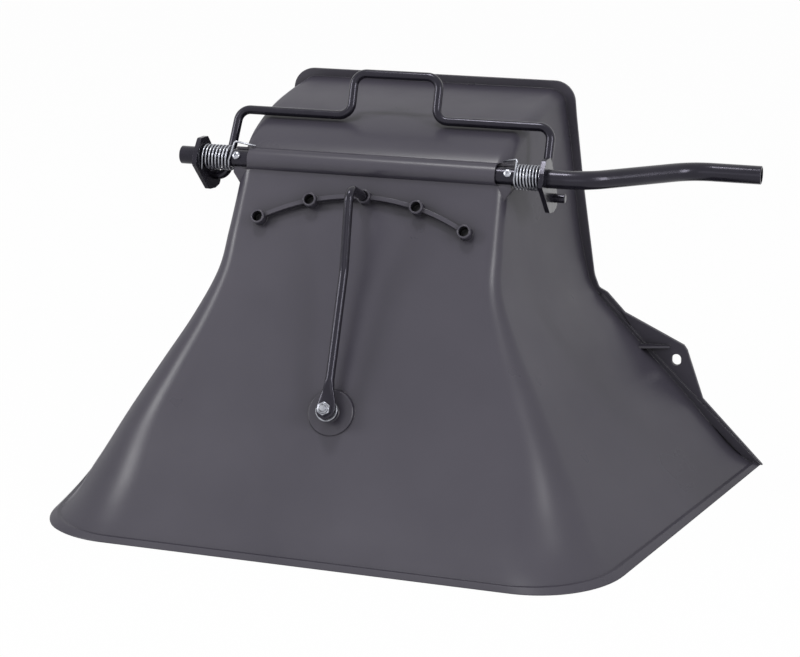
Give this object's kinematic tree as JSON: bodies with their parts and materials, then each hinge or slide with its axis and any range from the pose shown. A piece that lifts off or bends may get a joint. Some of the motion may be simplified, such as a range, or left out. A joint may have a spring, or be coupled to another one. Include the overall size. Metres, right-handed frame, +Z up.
{
  "type": "mower deck deflector",
  "caption": "Moulded flared discharge hood on a bent cross tube, with a sprung wire bail latch and a swinging selector lever on its outer face.",
  "frame": {"origin": "centre of the bounding box in plan, on the plane of the hood's bottom edge", "axes": "+X along the cross tube towards its bent end, +Y towards the mower deck, through the rim opening, +Z up; the outer face with the lever looks along -Y"},
  "size_m": [0.794, 0.4594, 0.4655],
  "materials": {
    "hood_plastic": "satin dark grey moulded plastic",
    "black_paint": "glossy black powder coat on steel",
    "zinc_steel": "bright zinc plating"
  },
  "bodies": {
    "hood": {"hood_shell": "hood_plastic", "cross_tube": "black_paint", "tube_screw_left": "zinc_steel", "tube_screw_right": "zinc_steel", "torsion_spring_left": "zinc_steel", "torsion_spring_right": "zinc_steel"},
    "latch": {"bail_handle": "black_paint", "latch_plate_left": "black_paint", "latch_plate_right": "black_paint"},
    "lever": {"adjuster_lever": "black_paint", "lever_washer": "zinc_steel", "pivot_nut": "zinc_steel", "pivot_bolt": "zinc_steel", "inner_washer": "zinc_steel", "steering_vane": "black_paint"}
  },
  "joints": [
    {"name": "latch_hinge", "type": "hinge", "parent": "hood", "child": "latch", "pos_m": [-0.01401, 0.01571, 0.372], "axis": [1, 0, 0], "range_deg": [0, 38], "stiffness_Nm_per_rad": 0.73, "springref_deg": -28.65},
    {"name": "lever_hinge", "type": "hinge", "parent": "hood", "child": "lever", "pos_m": [-0.01401, -0.12649, 0.1355], "axis": [0, -0.8862, 0.4633], "range_deg": [-29.5, 29.5]}
  ]
}
